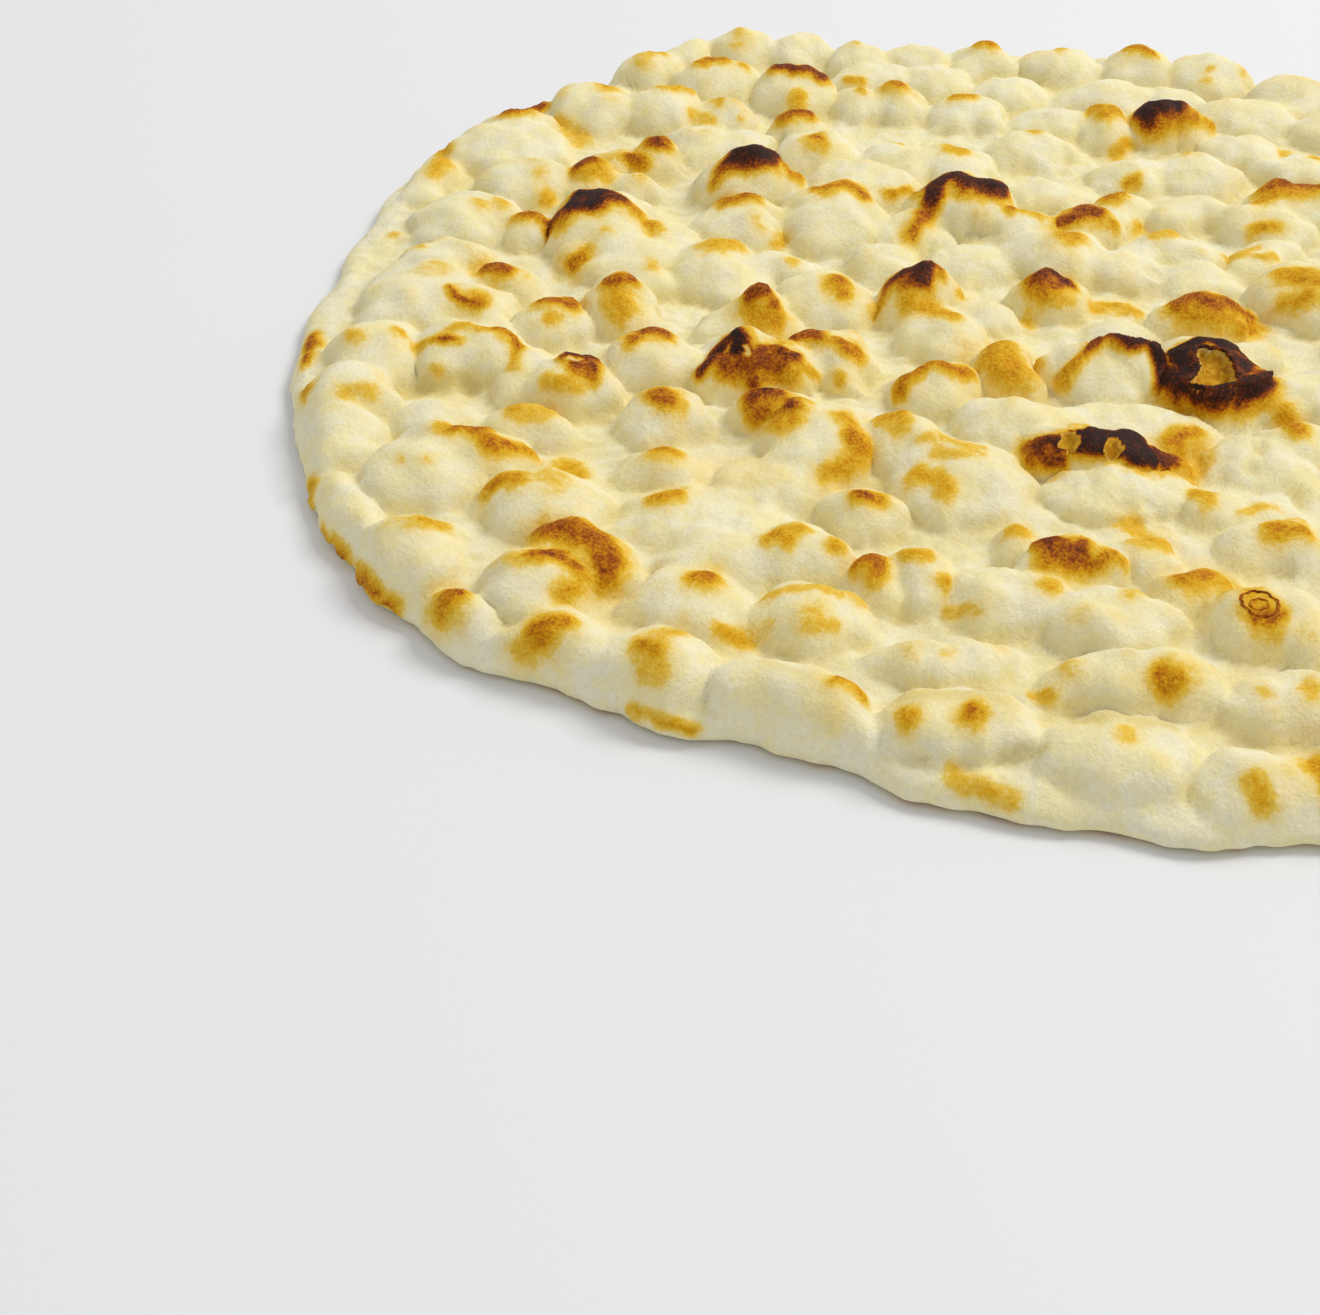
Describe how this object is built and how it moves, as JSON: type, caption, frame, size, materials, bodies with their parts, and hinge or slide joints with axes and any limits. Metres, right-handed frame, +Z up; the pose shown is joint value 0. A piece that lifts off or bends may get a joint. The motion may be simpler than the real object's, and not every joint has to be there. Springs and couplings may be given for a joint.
{
  "type": "keema naan",
  "caption": "Large round leavened flatbread, blistered all over by fingertip marks, with a thin uneven lip, toasted and charred spots and a flat underside.",
  "frame": {"origin": "on the surface that the bread lies on, under the middle of its bounding box", "axes": "+Z up, away from the surface; -Y towards the edge that faces the viewer, +X to the viewer's right"},
  "size_m": [0.344, 0.3372, 0.0182],
  "materials": {
    "crust": "matt floury crust, cream with toasted and charred spots"
  },
  "bodies": {
    "root": {"naan": "crust"}
  },
  "joints": []
}
